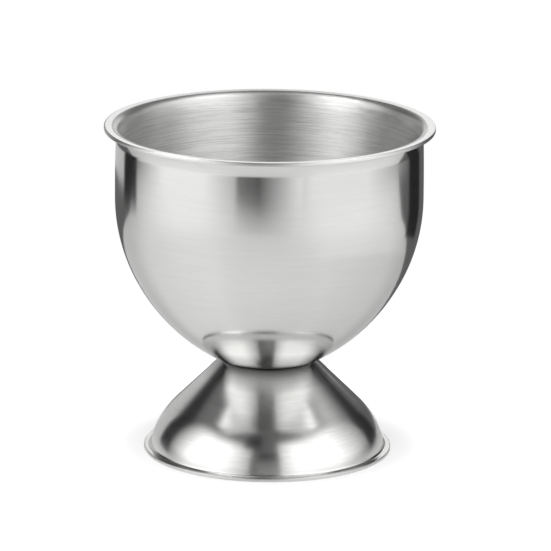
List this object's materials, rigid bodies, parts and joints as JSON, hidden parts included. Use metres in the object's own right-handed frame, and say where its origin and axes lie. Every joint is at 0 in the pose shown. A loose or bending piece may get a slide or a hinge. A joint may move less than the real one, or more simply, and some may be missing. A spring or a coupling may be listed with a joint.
{
  "type": "egg cup",
  "caption": "Sheet steel egg cup: a deep round bowl with a turned-out lip, welded to a hollow bell-shaped foot with a flat flange.",
  "frame": {"origin": "centre of the base, on the plane of the table", "axes": "+Z along the cup's axis, from the foot up to the mouth; +X and +Y are level, and the part is round about +Z"},
  "size_m": [0.052, 0.052, 0.0525],
  "materials": {
    "bowl": "polished outside, fine circular brushing inside",
    "foot": "polished outside, fine circular brushing inside",
    "weld": "dull, as fused"
  },
  "bodies": {
    "root": {"bowl": "bowl", "foot": "foot", "spot_welds": "weld"}
  },
  "joints": []
}
